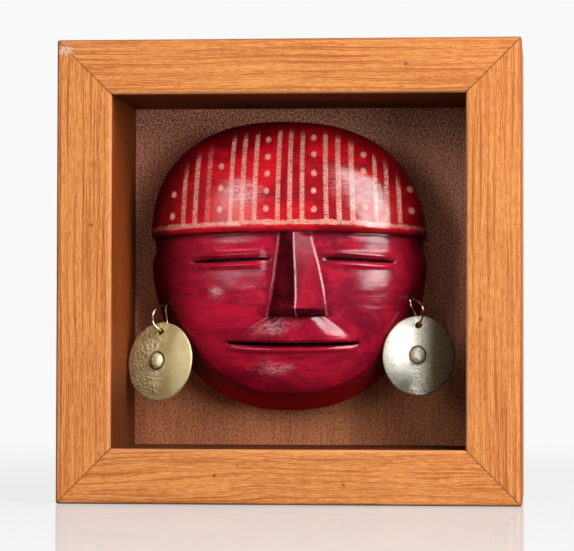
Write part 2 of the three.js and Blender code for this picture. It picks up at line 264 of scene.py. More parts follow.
# Lights: two tall soft boxes in front, given by their bearing from the mask
lights = {
    "rightBox": {"bearing": 44, "height": 29, "distance": 1.0, "size": (0.74, 1.4), "power": 28.0},
    "leftBox": {"bearing": -29, "height": 15, "distance": 1.1, "size": (0.22, 0.52), "power": 2.9},
    "ambient": 0.32,
}


def addSoftBox(name, bearing, height, distance, size, power):
    data = bpy.data.lights.new(name, "AREA")
    data.shape = "RECTANGLE"
    data.size, data.size_y = size
    data.energy = power
    box = bpy.data.objects.new(name, data)
    bpy.context.scene.collection.objects.link(box)
    aside, up = math.radians(bearing), math.radians(height)
    outward = Vector((math.sin(aside) * math.cos(up), -math.cos(aside) * math.cos(up), math.sin(up)))
    middle = (cadBox[0] + cadBox[1]) / 2
    box.location = middle + outward * distance
    box.rotation_mode = "QUATERNION"
    box.rotation_quaternion = outward.to_track_quat("Z", "Y")
    box.visible_camera = False


def addLights():
    for name in ("rightBox", "leftBox"):
        addSoftBox(name, **lights[name])
    world = bpy.data.worlds.new("studio")
    world.use_nodes = True
    background = world.node_tree.nodes["Background"]
    background.inputs["Color"].default_value = (1, 1, 1, 1)
    background.inputs["Strength"].default_value = lights["ambient"]
    world.cycles_visibility.glossy = False
    bpy.context.scene.world = world
    bpy.context.scene.view_settings.view_transform = "Standard"


# Stage: a pale floor that fades into a pale wall all round
stage = {
    "radius": 2.6,         # metres, as the wall's foot and height
    "wallFoot": -0.01,
    "wallHeight": 3.0,
    "wallSteps": 96,
    "frontGap": 120,       # degrees in front where gloss doesn't see the wall
    "wallGlow": 0.945,
    "floorDrop": 0.02,     # mm below the frame's underside
    "floorGlow": 0.875,
    "floorPaint": 0.08,    # share of the floor that takes light and shadow
    "floorColour": (0.95, 0.95, 0.95, 1),
    "floorGloss": 0.47,
    "glossRoughness": 0.05,
    "glossStart": (0.85, 0.97),    # from a steep look, with none, to a flat one
    "fade": (0.22, 0.8),   # metres from the middle
}


def glow(tree, strength):
    node = tree.nodes.new("ShaderNodeEmission")
    node.inputs["Strength"].default_value = strength
    return node.outputs[0]


def wallMaterial(name):
    material, tree = startMaterial(name)
    output = tree.nodes.new("ShaderNodeOutputMaterial")
    tree.links.new(glow(tree, stage["wallGlow"]), output.inputs[0])
    return material


def floorMaterial():
    material, tree = startMaterial("pale floor")

    def blend(share, first, second):
        node = tree.nodes.new("ShaderNodeMixShader")
        for socket, value in zip(node.inputs, (share, first, second)):
            plug(tree, socket, value)
        return node.outputs[0]

    paint = tree.nodes.new("ShaderNodeBsdfDiffuse")
    paint.inputs["Color"].default_value = stage["floorColour"]
    shine = tree.nodes.new("ShaderNodeBsdfGlossy")
    shine.inputs["Roughness"].default_value = stage["glossRoughness"]
    facing = tree.nodes.new("ShaderNodeLayerWeight").outputs["Facing"]
    ownGlow = glow(tree, stage["floorGlow"] / (1 - stage["floorPaint"]))
    matt = blend(stage["floorPaint"], ownGlow, paint.outputs[0])
    gloss = rescale(tree, facing, *stage["glossStart"], 0, stage["floorGloss"])
    near = blend(gloss, matt, shine.outputs[0])
    length = tree.nodes.new("ShaderNodeVectorMath")
    length.operation = "LENGTH"
    plug(tree, length.inputs[0], objectPlace(tree))
    far = rescale(tree, length.outputs["Value"], *stage["fade"])
    output = tree.nodes.new("ShaderNodeOutputMaterial")
    tree.links.new(blend(far, near, glow(tree, stage["wallGlow"])), output.inputs[0])
    return material


def addStagePart(name, bm, material):
    mesh = bpy.data.meshes.new(name)
    bm.to_mesh(mesh)
    bm.free()
    mesh.materials.append(material)
    part = bpy.data.objects.new(name, mesh)
    bpy.context.scene.collection.objects.link(part)
    part.visible_diffuse = False
    part.visible_shadow = False
    return part


def addWall(name, start, sweep):
    bm = bmesh.new()
    foot = bm.verts.new((0, -stage["radius"], stage["wallFoot"]))
    head = bm.verts.new((0, -stage["radius"], stage["wallHeight"]))
    bm.edges.new((foot, head))
    turn = Matrix.Rotation(math.radians(start), 3, "Z")
    bmesh.ops.rotate(bm, verts=bm.verts, cent=(0, 0, 0), matrix=turn)
    bmesh.ops.spin(
        bm, geom=bm.verts[:] + bm.edges[:], cent=(0, 0, 0), axis=(0, 0, 1),
        angle=math.radians(sweep), steps=round(stage["wallSteps"] * sweep / 360)
    )
    return addStagePart(name, bm, wallMaterial(name))


def addStage():
    bm = bmesh.new()
    bmesh.ops.create_circle(bm, cap_ends=True, segments=stage["wallSteps"], radius=stage["radius"])
    bmesh.ops.translate(bm, verts=bm.verts, vec=(0, 0, -stage["floorDrop"] * mm))
    addStagePart("floor", bm, floorMaterial()).visible_glossy = False
    gap = stage["frontGap"]
    addWall("backWall", gap / 2, 360 - gap)
    addWall("frontWall", -gap / 2, gap).visible_glossy = False


# Frame boards: mitred at their ends, rebated behind for the back board
boards = {
    "frontRound": 1.0,
    "backRound": 0.5,
    "roundSteps": 4,
    "panelPlay": 0.3,
    "mitreGap": 0.03,
    "cornerRound": 0.9,    # the frame's outer corners
    "sectionStep": 1.0,
    "slices": 300,
    "grainShift": (310, 47),             # from one board's grain to the next one's
    "planeWaves": {"depth": 0.03, "length": 22, "width": 5},
    "edgeWear": {
        "depth": 0.16, "reach": 0.8, "length": 9, "dentLength": 3.1, "dents": 2.2, "dentStart": 0.35,
    },
    "ringSpacing": 2.6,
    "boldness": (1.0, 0.25, 0.3, 0.35),  # how strongly each board's growth lines wander
    "damageDepth": 3,      # how far behind the front the chip and the nicks are looked for
    "chip": {"place": (-76.6, 156.4), "reach": 2.6, "depth": 0.3, "slimness": 1.5, "ragged": (0.35, 0.8)},
    "nicks": ((66.2, 63.5), (-17.0, 13.5), (-25.0, 10.1), (19.3, 7.0), (-68.0, 96.0), (40.5, 151.0)),
    "nickReach": 0.5,
    "nickDepth": 0.25,
    "names": ("bottomBoard", "leftBoard", "topBoard", "rightBoard"),
    "nodes": ("rail_bottom", "rail_left", "rail_top", "rail_right"),
}
woodTones = {
    "dark": (0.368, 0.11, 0.027), "light": (0.446, 0.158, 0.039),
    "fibre": (0.54, 0.236, 0.052), "paleFlecks": (0.558, 0.24, 0.092), "darkFlecks": (0.324, 0.076, 0.015),
    "fineLines": (0.257, 0.053, 0.01), "bands": (0.246, 0.047, 0.01), "pores": (0.19, 0.045, 0.01),
    # the two tones on the next line are painted shade for the walls inside the frame
    "tone": (0.40, 0.23, 0.12), "lowInnerShade": (0.05, 0.012, 0.003),
    "innerEdge": (0.446, 0.204, 0.092), "outerEdge": (0.122, 0.038, 0.014), "mitre": (0.15, 0.04, 0.012),
    "specks": (0.145, 0.038, 0.009), "nicks": (0.05, 0.017, 0.007), "chip": (0.546, 0.422, 0.347),
}


def frameWood():
    material, tree = startMaterial("orange softwood")
    grain = attribute(tree, "grain")
    along, across, deep = parts(tree, grain)
    inward, back, mitre = parts(tree, attribute(tree, "place"))
    chip, nick, boldness = parts(tree, attribute(tree, "damage"))
    # growth lines follow the board and wander slowly
    drift = calc(tree, "SUBTRACT", cloud(tree, grain, (0.011, 0.05, 0.03), 2), 0.5)
    sway = product(tree, drift, calc(tree, "MULTIPLY_ADD", boldness, 13, 0.8))
    width = calc(tree, "ADD", calc(tree, "MULTIPLY_ADD", deep, 0.42, across), sway)
    fine = cloud(tree, joined(tree, product(tree, width, 1.15), product(tree, along, 0.012)), 1, 4, 0.8)
    fineLines = rescale(tree, fine, 0.50, 0.62)
    rings = calc(tree, "DIVIDE", width, boards["ringSpacing"])
    ring = calc(tree, "FRACT", calc(tree, "MULTIPLY_ADD", fine, 0.5, rings))
    lineNoise = cloud(tree, grain, (0.02, 0.25, 0.2), 3)
    bands = product(
        tree, rescale(tree, ring, 0.55, 0.92), rescale(tree, ring, 0.93, 1.0, 1, 0),
        rescale(tree, lineNoise, 0.35, 0.65, 0.1, 1.0)
    )
    fibre = cloud(tree, grain, (0.05, 2.6, 2.6), 5, 0.8)
    mottle = cloud(tree, grain, (0.25, 1.9, 1.9), 4, 0.85)
    pores = rescale(tree, cloud(tree, grain, (0.13, 5.0, 5.0), 2), 0.60, 0.70)
    patches = cloud(tree, grain, (0.03, 0.07, 0.05), 3)
    colour = tint(tree, rescale(tree, patches, 0.35, 0.68), woodTones["dark"], woodTones["light"])
    colour = layTones(tree, colour, woodTones, (
        ("fibre", rescale(tree, fibre, 0.44, 0.57, 0, 0.7)),
        ("paleFlecks", rescale(tree, mottle, 0.48, 0.58, 0, 0.6)),
        ("darkFlecks", rescale(tree, mottle, 0.40, 0.50, 0.5, 0)),
        ("fineLines", product(tree, fineLines, 0.72)),
        ("bands", product(tree, bands, 0.62)),
        ("pores", product(tree, pores, 0.45)),
    ))
    # painted shade: the walls inside the frame are darkened, most of all low down
    inside = product(tree, rescale(tree, inward, 18.9, 18.99), rescale(tree, back, 0.6, 3.0))
    colour = tint(tree, inside, colour, tint(tree, 1.0, colour, woodTones["tone"], "MULTIPLY"))
    height = parts(tree, objectPlace(tree))[2]
    # the worn inner edge is pinker, the outer edge and the mitre are darker
    innerEdge = product(tree, rescale(tree, inward, 17.4, 18.9), rescale(tree, back, 0.0, 2.5, 1, 0))
    outerEdge = product(tree, rescale(tree, inward, 0.1, 0.9, 1, 0), rescale(tree, back, 0.2, 1.6, 1, 0))
    joint = product(tree, rescale(tree, mitre, 0.1, 0.55, 1, 0), rescale(tree, fibre, 0.35, 0.6, 0.9, 0.6))
    specks = rescale(tree, cells(tree, stretch(tree, grain, (0.10, 0.2, 0.2)), 1), 0.03, 0.07, 1, 0)
    bruise = product(tree, chip, rescale(tree, mottle, 0.35, 0.65, 0.25, 1.15))
    colour = layTones(tree, colour, woodTones, (
        # painted shade, darkest low down on the inner walls
        ("lowInnerShade", product(tree, inside, rescale(tree, height, 0.034, 0.056, 0.68, 0))),
        ("innerEdge", product(tree, innerEdge, 0.5)),
        ("outerEdge", product(tree, outerEdge, 0.75)),
        ("mitre", joint),
        ("specks", product(tree, specks, 0.45)),
        ("nicks", product(tree, nick, 0.85)),
        ("chip", rescale(tree, bruise, 0.12, 0.8, 0, 0.8)),
    ))
    surface(tree, {
        "Base Color": colour,
        "Roughness": rescale(tree, fibre, 0.3, 0.7, 0.56, 0.68),
        "Specular IOR Level": 0.1,
        "Normal": bump(tree, calc(tree, "MULTIPLY_ADD", fineLines, -0.5, fibre), 0.05),
    })
    return material


def shapeBoard(index):
    low, high = nodeBox(boards["nodes"][0])
    panelLow = nodeBox("back_panel")[0]
    half = cadBox[1].x / mm
    width, depth = high.z - low.z, high.y - low.y
    shoulder = panelLow.y - boards["panelPlay"] - low.y
    rebate = half + panelLow.x - boards["panelPlay"]
    bm = bmesh.new()
    outline = ((0, 0), (width, 0), (width, shoulder), (rebate, shoulder), (rebate, depth), (0, depth))
    corners = [bm.verts.new((-half, low.y + back, inward)) for inward, back in outline]
    bm.faces.new(corners)
    roundings = ((corners[:2], boards["frontRound"]), (corners[5:], boards["backRound"]))
    for rounded, radius in roundings:
        bmesh.ops.bevel(
            bm, geom=rounded, offset=radius, affect="VERTICES",
            segments=boards["roundSteps"], profile=0.5, material=-1
        )
    for edge in bm.edges[:]:
        cuts = int(edge.calc_length() / boards["sectionStep"])
        if cuts:
            bmesh.ops.subdivide_edges(bm, edges=[edge], cuts=cuts)
    bmesh.ops.delete(bm, geom=bm.faces[:], context="FACES_ONLY")
    made = bmesh.ops.extrude_edge_only(bm, edges=bm.edges[:])["geom"]
    farEnd = [item for item in made if isinstance(item, bmesh.types.BMVert)]
    bmesh.ops.translate(bm, verts=farEnd, vec=(2 * half, 0, 0))
    lengthwise = [edge for edge in bm.edges if edge.calc_length() > half]
    bmesh.ops.subdivide_edges(bm, edges=lengthwise, cuts=boards["slices"] - 1, use_grid_fill=True)
    bmesh.ops.holes_fill(bm, edges=[edge for edge in bm.edges if edge.is_boundary])
    bmesh.ops.recalc_face_normals(bm, faces=bm.faces)
    ageBoard(bm, index, half, width, low.y)
    return bm


# Squeezes the ends to the mitre, rounds the corners, wears the edges and turns the board to its side
def ageBoard(bm, index, half, width, front):
    grain = bm.verts.layers.float_vector.new("grain")
    place = bm.verts.layers.float_vector.new("place")
    damage = bm.verts.layers.float_vector.new("damage")
    turn = Matrix.Rotation(index * math.pi / 2, 3, "Y")
    middle = Vector((0, 0, half))
    worn, waves = boards["edgeWear"], boards["planeWaves"]
    shiftAlong, shiftAcross = boards["grainShift"]
    for vert in bm.verts:
        inward, back = vert.co.z, vert.co.y - front
        reach = half - inward - boards["mitreGap"]
        along = vert.co.x / half * reach
        vert[place] = (inward, back, reach - abs(along))
        vert[grain] = (along + shiftAlong * index, inward + shiftAcross * index, back)
        roughness = 0.5 + 0.5 * waver(along / worn["length"], index, inward / width)
        dent = max(0.0, waver(along / worn["dentLength"], index + 5, inward / width) - worn["dentStart"])
        wear = worn["depth"] * (roughness + worn["dents"] * dent)
        outer = bell(math.hypot(inward, back), worn["reach"])
        inner = bell(math.hypot(width - inward, back), worn["reach"])
        newInward = inward + wear * 0.7 * (outer - inner)
        newBack = back + wear * (outer + inner)
        if back < 0.1:
            newBack += waves["depth"] * (1 + waver(along / waves["length"], inward / waves["width"], index))
        along, newInward = roundCorner(along, newInward, half)
        point = turn @ (Vector((along, front + newBack, newInward)) - middle) + middle
        chip, nick = damageAt(point) if back < boards["damageDepth"] else (0.0, 0.0)
        point.y += boards["chip"]["depth"] * chip + boards["nickDepth"] * nick
        vert[damage] = (chip, nick, boards["boldness"][index])
        vert.co = point


def roundCorner(along, inward, half):
    radius = boards["cornerRound"]
    fromCorner = Vector((abs(along) - half + radius, radius - inward))
    if min(fromCorner) > 0 and fromCorner.length > radius:
        fromCorner *= radius / fromCorner.length
        return math.copysign(half - radius + fromCorner.x, along), radius - fromCorner.y
    return along, inward


def damageAt(point):  # shares of the chip and of the nearest nick, seen from the front
    spot = boards["chip"]
    amount, size = spot["ragged"]
    away = math.hypot(point.x - spot["place"][0], (point.z - spot["place"][1]) * spot["slimness"])
    chip = bell(away * (1 + amount * waver(point.x / size, point.z / size)), spot["reach"])
    nick = max(bell(math.hypot(point.x - x, point.z - z), boards["nickReach"]) for x, z in boards["nicks"])
    return chip, nick


def addBoards():
    wood = frameWood()
    for index, name in enumerate(boards["names"]):
        addPiece(name, shapeBoard(index), wood, boards["nodes"][index])
        print("board ready:", name)


# Back board: thin dark veneered board let into the rebate
backBoard = {
    "edgeRound": 0.4, "roundSteps": 2,
}
veneerTones = {
    # the lower tones are painted lighter and more orange than the upper ones, as if lit
    "upperDark": (0.38, 0.118, 0.060), "upperLight": (0.47, 0.160, 0.092),
    "lowerDark": (0.403, 0.119, 0.043), "lowerLight": (0.518, 0.173, 0.065),
    "paintedLightBand": (0.95, 0.37, 0.22), "fibre": (0.158, 0.05, 0.025),
    "paleSpeckle": (0.95, 0.47, 0.30), "darkSpeckle": (0.101, 0.032, 0.018),
}


def veneer():
    material, tree = startMaterial("dark brown veneer")
    place = objectPlace(tree)
    height = parts(tree, place)[2]
    fibre = cloud(tree, place, (1100, 1100, 60), 5, 0.75)
    speckle = cloud(tree, place, (1500, 1500, 1200), 4, 0.85)
    broad = rescale(tree, cloud(tree, place, (40, 40, 9), 3), 0.3, 0.7)
    upper = tint(tree, broad, veneerTones["upperDark"], veneerTones["upperLight"])
    lower = tint(tree, broad, veneerTones["lowerDark"], veneerTones["lowerLight"])
    # painted light and shade: the lower part gets the lit tones, the upper part the darker ones
    isLow = rescale(tree, height, 0.045, 0.10, 1, 0)
    pale = product(tree, rescale(tree, speckle, 0.49, 0.55), rescale(tree, isLow, 0, 1, 0.9, 0.22))
    # painted light: a lighter band over the middle heights, fading out at the top and bottom
    paintedLightBand = product(tree, rescale(tree, height, 0.035, 0.060), rescale(tree, height, 0.122, 0.138, 1, 0))
    colour = layTones(tree, tint(tree, isLow, upper, lower), veneerTones, (
        ("paintedLightBand", product(tree, paintedLightBand, 0.75)),
        ("fibre", rescale(tree, fibre, 0.42, 0.66, 0, 0.48)),
        ("paleSpeckle", pale),
        ("darkSpeckle", rescale(tree, speckle, 0.40, 0.50, 0.72, 0)),
    ))
    surface(tree, {
        "Base Color": colour,
        "Roughness": 0.65,
        "Specular IOR Level": 0.12,
        "Normal": bump(tree, fibre, 0.06, bump(tree, speckle, 0.03)),
    })
    return material


def addBackBoard():
    low, high = nodeBox("back_panel")
    bm = bmesh.new()
    bmesh.ops.create_cube(bm, size=1)
    bmesh.ops.scale(bm, vec=high - low, verts=bm.verts)
    bmesh.ops.translate(bm, vec=(low + high) / 2, verts=bm.verts)
    bmesh.ops.bevel(
        bm, geom=bm.edges[:], offset=backBoard["edgeRound"], affect="EDGES",
        segments=backBoard["roundSteps"], profile=0.5, material=-1
    )
    addPiece("backBoard", bm, veneer(), "back_panel")
    print("back board ready")


# Mask: u runs to the right and v up from its middle, all in mm
mask = {
    "middle": (-3.2, 83.2),
    "halfWidth": 49.35, "widest": 7, "capRise": 44.4, "jawDrop": 58.5,
    "capRoundness": 2.36, "jawRoundness": 2.24, "backTaper": 0.965,
    "sideWall": 16, "crownHeight": 22, "crownFall": 2.2, "crownFullness": 0.48,
    "jawWall": 13, "jawSlope": 2.6, "jawTop": -4, "jawFade": 14, "edgeSoftness": 0.5,
    "carvingFade": 6, "headTurn": 5.6, "capLean": 0.035,
    "ledge": 11.2, "ledgeDroop": 1.4, "ledgeReach": 9, "capThickness": 2.6, "capLip": 2.2,
    "browDepth": 0.7, "browHalf": 1.5,
    "notch": 0.032, "notchDrop": 3.5, "notchReach": 4, "notchEdge": 4,
    # depth, width, height and seed of the broad, middling and fine unevenness of the carving
    "knifeMarks": ((0.20, 13, 8, 3.1), (0.09, 6, 2.6, 7.7), (0.035, 5, 0.95, 1.9)),
    "capSmoothness": 0.55,               # share of the knife marks left on the cap
    "columns": 250, "rows": 330, "noseShare": 0.2, "noseColumns": 0.24, "footFade": 16,
    "sideRings": 9,
}
eyes = {
    "line": 1.9, "inner": 9.5, "outer": 36, "droop": 0.7, "droopReach": 5,
    "slit": 0.75, "depth": 1.7, "lidRise": 0.9,
    "upper": (1.9, 1.5), "lower": (-1.9, 1.4),
    "socketDepth": 1.1, "socketRise": 2, "socketReach": 8,
}
nose = {
    "base": -18.4, "tip": -15.7, "rootHalf": 5.4, "baseHalf": 10.6, "rootRise": 3, "tipRise": 9.6,
    "crestRound": 0.22, "leanShift": -2, "leanReach": 12, "leanFade": 4,
    "shadeLeft": 1.0, "shadeRight": 0.55, "shadeUnder": 0.97,  # painted shade on its flanks and underside
}
mouth = {
    "line": -28.2, "half": 23.2, "slit": 0.85, "depth": 2.2,
    "mound": 2.7, "topHalf": 10, "taper": 1.2, "squareness": 2.2, "curl": 1.6, "fade": 7,
    "lowerMiddle": -1.9, "lowerHalf": 1.5, "lowerRise": 1.4, "smile": 0.7, "smileReach": 5,
    "chinLine": -41, "chinRise": 1.4, "chinHalfWidth": 17, "chinHalfHeight": 8,
}
ears = {
    "left": {"u": -44.3, "v": -13.8},
    "right": {"u": 42.6, "v": -12},
    "holeRadius": 1.4, "pitDepth": 3.4,
}


def reachAt(v):
    return mask["capRise"] if v > mask["widest"] else mask["jawDrop"]


def roundnessAt(v):
    return mask["capRoundness"] if v > mask["widest"] else mask["jawRoundness"]


def halfWidthAt(v):
    power = roundnessAt(v)
    share = min(1.0, abs(v - mask["widest"]) / reachAt(v))
    return mask["halfWidth"] * (1 - share ** power) ** (1 / power)


def rimShare(u, v):  # 0 in the middle, 1 on the outline
    power = roundnessAt(v)
    across = abs(u) / mask["halfWidth"]
    along = abs(v - mask["widest"]) / reachAt(v)
    return min(1.0, (across ** power + along ** power) ** (1 / power))


def noseHalfAt(v):
    down = clamp((mask["ledge"] - v) / (mask["ledge"] - nose["base"]))
    return mix(nose["rootHalf"], nose["baseHalf"], down)


def capStep(v):
    above = v - mask["ledge"]
    if above <= 0:
        return 0.0
    t = max(0.0, 1 - above / mask["capLip"])
    return mask["capThickness"] * math.sqrt(1 - t * t)


def noseRise(u, v):
    if v >= mask["ledge"] or v <= nose["base"]:
        return 0.0
    half = noseHalfAt(v)
    crestRound = nose["crestRound"]
    size = math.sqrt(u * u + crestRound * crestRound) - crestRound * 0.4
    across = max(0.0, 1 - size / half)
    along = (mask["ledge"] - v) / (mask["ledge"] - nose["tip"])
    crest = mix(nose["rootRise"], nose["tipRise"], min(1.0, along))
    underside = min(1.0, (v - nose["base"]) / (nose["tip"] - nose["base"]))
    return crest * across * underside


def eyeOpen(u):  # 0 outside the eye, 1 at its middle
    middle = (eyes["inner"] + eyes["outer"]) / 2
    along = (abs(u) - middle) / ((eyes["outer"] - eyes["inner"]) / 2)
    return math.sqrt(1 - along * along) if abs(along) < 1 else 0.0


def eyeSlit(u, v):
    return ridge(v - eyes["line"], eyes["slit"]) * eyeOpen(u)


def eyeLids(u, v):
    above = v - eyes["line"]
    upper = ridge(above - eyes["upper"][0], eyes["upper"][1])
    lower = ridge(above - eyes["lower"][0], eyes["lower"][1])
    return eyes["lidRise"] * (upper + lower) * eyeOpen(u)


def mouthOpen(u):
    return math.sqrt(1 - min(1.0, abs(u) / mouth["half"]) ** 2)


def mouthSlit(u, v):
    return ridge(v - mouth["line"], mouth["slit"]) * math.sqrt(mouthOpen(u))


def lips(u, v):
    above = v - mouth["line"]
    lower = mouth["lowerRise"] * ridge(above - mouth["lowerMiddle"], mouth["lowerHalf"]) * mouthOpen(u)
    if above <= 0 or v >= 0:
        return lower
    climb = min(1.0, above / (nose["base"] - mouth["line"]))
    half = mix(mouth["half"], mouth["topHalf"], climb ** mouth["taper"])
    across = smoothStep(0, 1, 1 - (abs(u) / half) ** mouth["squareness"])
    curl = math.sqrt(min(1.0, above / mouth["curl"]))
    fade = 1 - smoothStep(nose["base"], nose["base"] + mouth["fade"], v)
    return lower + mouth["mound"] * across * curl * fade


def knifeWork(u, v, rim):
    marks = sum(depth * waver(u / wide, v / high, seed) for depth, wide, high, seed in mask["knifeMarks"])
    calm = mask["capSmoothness"] if v > mask["ledge"] else 1.0
    return calm * marks * (1 - rim ** 8)


def maskHeight(u, v):
    rim = rimShare(u, v)
    dome = max(0.0, 1 - rim ** mask["crownFall"]) ** mask["crownFullness"]
    height = mask["sideWall"] + mask["crownHeight"] * dome
    bevel = mask["jawWall"] + mask["jawSlope"] * (1 - rim) * mask["halfWidth"]
    bevelShare = smoothStep(mask["jawTop"], mask["jawTop"] - mask["jawFade"], v)
    height = mix(height, softMin(height, bevel, mask["edgeSoftness"]), bevelShare)
    inside = 1 - rim ** mask["carvingFade"]
    if v < mask["ledge"]:
        socket = bell(v - eyes["line"] - eyes["socketRise"], eyes["socketReach"])
        height -= mask["browDepth"] * bell(v - mask["ledge"], mask["browHalf"])
        height -= eyes["socketDepth"] * inside * socket
    height += capStep(v) + noseRise(u, v)
    slits = eyes["depth"] * eyeSlit(u, v) + mouth["depth"] * mouthSlit(u, v)
    chinShape = bell(u, mouth["chinHalfWidth"]) * bell(v - mouth["chinLine"], mouth["chinHalfHeight"])
    height += (eyeLids(u, v) + lips(u, v) + mouth["chinRise"] * chinShape - slits) * inside
    return height + knifeWork(u, v, rim)


def maskPoint(u, v):
    rim = rimShare(u, v)
    above = v - mask["ledge"]
    notch = 0.0
    if above < 0:
        notch = mask["notch"] * bell(above + mask["notchDrop"], mask["notchReach"])
        notch *= rim ** mask["notchEdge"]
    lean = mask["capLean"] * max(0.0, above)
    side = abs(u) / mask["halfWidth"]
    ledgeBend = mask["ledgeDroop"] * side ** 2 * bell(above, mask["ledgeReach"])
    eyeSide = smoothStep(eyes["inner"], eyes["outer"], abs(u))
    eyeBend = eyes["droop"] * eyeSide * bell(v - eyes["line"], eyes["droopReach"])
    mouthSide = min(1.0, abs(u) / mouth["half"])
    smile = mouth["smile"] * mouthSide ** 2 * bell(v - mouth["line"], mouth["smileReach"])
    alongNose = smoothStep(nose["base"], mask["ledge"], v) * smoothStep(nose["leanFade"], 0, above)
    noseShift = nose["leanShift"] * alongNose * bell(u, nose["leanReach"])
    return Vector((
        mask["middle"][0] + u * (1 - notch) + mask["headTurn"] * (1 - rim ** 2) - lean + noseShift,
        maskBack - maskHeight(u, v),
        mask["middle"][1] + v - ledgeBend - eyeBend + smile,
    ))


maskBack = nodeBox("mask")[1].y


# Where an ear hole opens, and the way out of it
def earFrame(ear):
    u, v, step = ear["u"], ear["v"], 0.4
    across = maskPoint(u + step, v) - maskPoint(u - step, v)
    upward = maskPoint(u, v + step) - maskPoint(u, v - step)
    return maskPoint(u, v), across.cross(upward).normalized()


# Row heights for even steps from 0 to 1, closest at the carved lines and at chin and crown
def rowSpacing():
    finest = (  # line, reach and extra rows
        (mask["ledge"] + 0.8, 2.2, 2.6), (eyes["line"], 2.6, 2.2),
        (nose["base"] + 1.4, 2.2, 1.6), (mouth["line"], 2.6, 2.4),
    )
    steps = 3000
    places, total = [], 0.0
    for i in range(steps + 1):
        angle = math.pi * (i / steps - 0.5)
        v = mask["widest"] + math.sin(angle) * (mask["capRise"] if angle > 0 else mask["jawDrop"])
        places.append((total, v))
        total += 1 + sum(extra * bell(v - line, reach) for line, reach, extra in finest)
    return [(share / places[-1][0], v) for share, v in places]


def columnU(place, v):  # the inner columns follow the nose's two feet
    half = halfWidthAt(v)
    below = smoothStep(nose["base"] - mask["footFade"], nose["base"], v)
    fade = below * (1 - smoothStep(mask["ledge"], mask["ledge"] + mask["footFade"], v))
    foot = mix(mask["noseShare"] * half, min(noseHalfAt(v), half * 0.5), fade)
    size = abs(place)
    if size <= mask["noseColumns"]:
        return math.copysign(foot * size / mask["noseColumns"], place)
    outward = (size - mask["noseColumns"]) / (1 - mask["noseColumns"])
    start = math.asin(mask["noseShare"])
    spread = (math.sin(mix(start, math.pi / 2, outward)) - mask["noseShare"]) / (1 - mask["noseShare"])
    return math.copysign(mix(foot, half, spread), place)


# Paint on the cap: columns of dots with three stripes between each pair, above a line along the edge
capPaint = {
    "columns": (
        {"x": -43.6, "first": 17.7, "step": 7.2, "dots": 2},
        {"x": -26.3, "first": 19.1, "step": 7.75, "dots": 3},
        {"x": -9.4, "first": 19.5, "step": 6.1, "dots": 5},
        {"x": 7.6, "first": 19.0, "step": 6.5, "dots": 5},
        {"x": 25.7, "first": 20.2, "step": 6.2, "dots": 4},
        {"x": 41.3, "first": 19.6, "step": 7.1, "dots": 2},
    ),
    "missingDots": ((4, 1),),              # column and dot that are worn away
    "stripeShares": (0.24, 0.49, 0.755),
    "outerPitch": 4.0,
    "wornStripes": {1: 0.85, 3: 0.6, 6: 0.85, -1: 0.6, -2: 0.5, 18: 0.8, 21: 0.75},
    "stripeEnds": (0.90, 0.96),            # shares of the way to the outline where stripes fade
    "line": 14.7,
    "lineDroop": 0.9,
    "gather": 0.0011,                      # how the stripes close in towards the crown, per mm
    "upright": 0.8,                        # how much of the cap's lean the right half's stripes shed
}

# Painted highlights, laid on as pale scratches: u, v, reach across, reach up, share
highlightPatches = (
    (-18.5, 25.3, 8.0, 5.5, 0.75), (-23.0, 8.3, 10.0, 1.0, 0.55), (-27.8, -9.7, 3.0, 2.8, 0.6),
    (-24.0, -4.5, 9.0, 1.2, 0.35), (-7.5, -22.0, 8.5, 3.6, 0.6), (-6.0, -36.8, 8.0, 3.4, 0.6),
    (17.5, 29.0, 8.0, 6.5, 0.5), (10.0, -21.0, 4.0, 3.0, 0.3), (-12.2, 1.0, 1.6, 6.0, 0.7),
    (14.0, 8.0, 9.0, 2.0, 0.3),
)

# Painted shade in the hollows: share, distance above or beside the carved line, reach
hollowShade = {
    "ledge": (0.85, 0, 1.6), "fold": (0.7, 1.1, 1.5), "underLid": (0.6, -3.9, 0.9),
    "eyeCorner": (0.8, 0, 2.6), "cheek": (0.55, 1.4, 1.6), "lipEdge": (0.75, 0, 1.5),
    "underLip": (0.55, -4.4, 1.3), "underNose": (0.8, -0.2, 1.1),
}


# Stripe number at a place across the cap: whole numbers are middles, and every fourth is a column of dots
def stripeNumber(x):
    marks = [column["x"] for column in capPaint["columns"]]
    pitch = capPaint["outerPitch"]
    if x <= marks[0]:
        return (x - marks[0]) / pitch
    if x >= marks[-1]:
        return 4 * (len(marks) - 1) + (x - marks[-1]) / pitch
    gap = max(i for i in range(len(marks) - 1) if x >= marks[i])
    share = (x - marks[gap]) / (marks[gap + 1] - marks[gap])
    stops = (0, *capPaint["stripeShares"], 1)
    part = max(i for i in range(4) if share >= stops[i])
    return 4 * gap + part + (share - stops[part]) / (stops[part + 1] - stops[part])


def dotDistance(x, v):
    nearest = 99.0
    for number, column in enumerate(capPaint["columns"]):
        if abs(x - column["x"]) > 6:
            continue
        for dot in range(column["dots"]):
            if (number, dot) in capPaint["missingDots"]:
                continue
            aside = x - column["x"] - 0.5 * waver(number * 3.3, dot * 2.7)
            up = v - column["first"] - column["step"] * dot - 0.5 * waver(dot * 3.1, number * 1.7)
            nearest = min(nearest, math.hypot(aside, up * 0.92))
    return min(nearest, 6.0)


